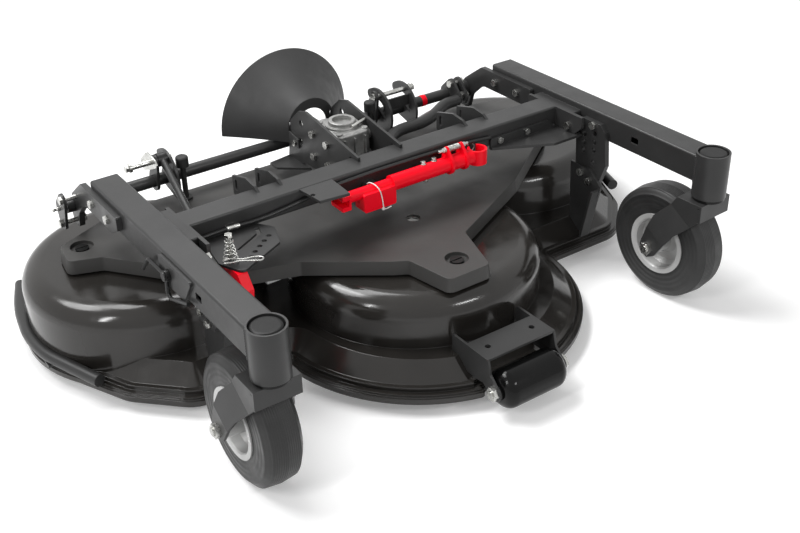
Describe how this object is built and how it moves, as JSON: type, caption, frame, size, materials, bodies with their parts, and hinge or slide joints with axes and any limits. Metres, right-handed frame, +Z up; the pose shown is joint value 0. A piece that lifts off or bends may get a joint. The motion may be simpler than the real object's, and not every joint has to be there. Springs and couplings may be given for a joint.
{
  "type": "lawn mower deck",
  "caption": "Front-mounted rotary mower deck with three domed blade chambers, belt cover, tubular carrying frame, caster wheels, front roller, gearbox and drive shaft guard.",
  "frame": {"origin": "on the ground below the middle of the deck's box", "axes": "+Z up, -Y the driving direction, +X along the width of cut"},
  "size_m": [1.5027, 0.9919, 0.458],
  "materials": {
    "deck_paint": "gloss black paint on pressed steel",
    "cover_paint": "satin black powder coat",
    "frame_paint": "satin black powder coat",
    "red_paint": "gloss red paint",
    "rim_paint": "silver grey wheel paint",
    "black_steel": "black oxide",
    "zinc_steel": "bright zinc plate",
    "plain_steel": "turned steel",
    "blade_steel": "dark hardened steel with ground edges",
    "bearing_steel": "ground steel",
    "cast_metal": "painted casting",
    "cast_aluminium": "raw die casting",
    "black_plastic": "moulded black plastic",
    "guard_plastic": "fine-grained black plastic",
    "roller_plastic": "smooth black plastic",
    "black_rubber": "matt black rubber",
    "belt_rubber": "wrapped V belt",
    "tyre_rubber": "ribbed black rubber",
    "cable_sheath": "black cable sheath"
  },
  "bodies": {
    "root": {"arch_tube": "frame_paint", "arm_left": "frame_paint", "arm_right": "frame_paint", "belt_cover": "cover_paint", "blade_belt": "belt_rubber", "bumper_tubes": "frame_paint", "caster_bushes": "black_plastic", "cover_screws": "black_plastic", "cross_beam": "frame_paint", "cross_tube": "frame_paint", "deck_brackets": "frame_paint", "deck_shell": "deck_paint", "drive_belt": "belt_rubber", "gearbox_housing": "cast_aluminium", "gearbox_plates": "frame_paint", "gusset_plate": "frame_paint", "height_cable": "cable_sheath", "height_lever": "red_paint", "height_plate_left": "frame_paint", "height_plate_right": "frame_paint", "hex_bolts": "zinc_steel", "hinge_pins": "zinc_steel", "lift_rod": "black_steel", "pto_guard": "guard_plastic", "rear_bracket_left": "frame_paint", "rear_bracket_right": "frame_paint", "roller_axle": "zinc_steel", "roller_bracket": "frame_paint", "rubber_stops": "black_rubber", "sector_plate": "frame_paint", "spindle_bearings": "bearing_steel", "spindle_bolts": "zinc_steel", "spindle_housings": "cast_metal", "strut_tube": "red_paint", "tube_caps": "black_plastic"},
    "caster_left": {"caster_fork_left": "frame_paint", "caster_axle_left": "zinc_steel"},
    "caster_right": {"caster_fork_right": "frame_paint", "caster_axle_right": "zinc_steel"},
    "wheel_left": {"wheel_rim_left": "rim_paint", "wheel_tyre_left": "tyre_rubber"},
    "wheel_right": {"wheel_rim_right": "rim_paint", "wheel_tyre_right": "tyre_rubber"},
    "roller": {"roller": "roller_plastic"},
    "spindle_left": {"spindle_shaft_left": "plain_steel", "spindle_pulley_left": "plain_steel", "blade_left": "blade_steel", "blade_bolt_left": "zinc_steel"},
    "spindle_middle": {"spindle_shaft_middle": "plain_steel", "spindle_pulley_middle": "plain_steel", "blade_middle": "blade_steel", "blade_bolt_middle": "zinc_steel"},
    "spindle_right": {"spindle_shaft_right": "plain_steel", "spindle_pulley_right": "plain_steel", "blade_right": "blade_steel", "blade_bolt_right": "zinc_steel"},
    "drive": {"gearbox_output": "plain_steel", "drive_pulley": "plain_steel"},
    "pto_input": {"input_shaft": "plain_steel"},
    "latch": {"latch_rod": "black_steel"}
  },
  "joints": [
    {"name": "swivel_left", "type": "hinge", "parent": "root", "child": "caster_left", "pos_m": [-0.531, -0.413, 0.262], "axis": [0, 0, 1], "continuous": true},
    {"name": "swivel_right", "type": "hinge", "parent": "root", "child": "caster_right", "pos_m": [0.499, -0.413, 0.262], "axis": [0, 0, 1], "continuous": true},
    {"name": "wheel_spin_left", "type": "hinge", "parent": "caster_left", "child": "wheel_left", "pos_m": [-0.531, -0.323, 0.127], "axis": [1, 0, 0], "continuous": true},
    {"name": "wheel_spin_right", "type": "hinge", "parent": "caster_right", "child": "wheel_right", "pos_m": [0.49429, -0.32312, 0.127], "axis": [0.9986, 0.0523, 0], "continuous": true},
    {"name": "roller_spin", "type": "hinge", "parent": "root", "child": "roller", "pos_m": [-0.014, -0.456, 0.057], "axis": [1, 0, 0], "continuous": true},
    {"name": "spindle_spin_middle", "type": "hinge", "parent": "root", "child": "spindle_middle", "pos_m": [0, -0.063, 0.06], "axis": [0, 0, 1], "continuous": true},
    {"name": "spindle_spin_left", "type": "hinge", "parent": "root", "child": "spindle_left", "pos_m": [-0.465, 0.219, 0.06], "axis": [0, 0, 1], "continuous": true},
    {"name": "spindle_spin_right", "type": "hinge", "parent": "root", "child": "spindle_right", "pos_m": [0.465, 0.219, 0.06], "axis": [0, 0, 1], "continuous": true},
    {"name": "drive_spin", "type": "hinge", "parent": "root", "child": "drive", "pos_m": [-0.016, 0.173, 0.25], "axis": [0, 0, 1], "continuous": true},
    {"name": "input_spin", "type": "hinge", "parent": "root", "child": "pto_input", "pos_m": [-0.016, 0.247, 0.315], "axis": [0, 1, 0], "continuous": true},
    {"name": "latch_turn", "type": "hinge", "parent": "root", "child": "latch", "pos_m": [-0.571, -0.119, 0.326], "axis": [1, 0, 0], "range_deg": [-20, 0]}
  ],
  "couplings": [
    {"joint": "spindle_spin_left", "follows": "spindle_spin_middle", "ratio": 1},
    {"joint": "spindle_spin_right", "follows": "spindle_spin_middle", "ratio": 1},
    {"joint": "drive_spin", "follows": "spindle_spin_middle", "ratio": 1.172},
    {"joint": "input_spin", "follows": "spindle_spin_middle", "ratio": -1.172}
  ]
}
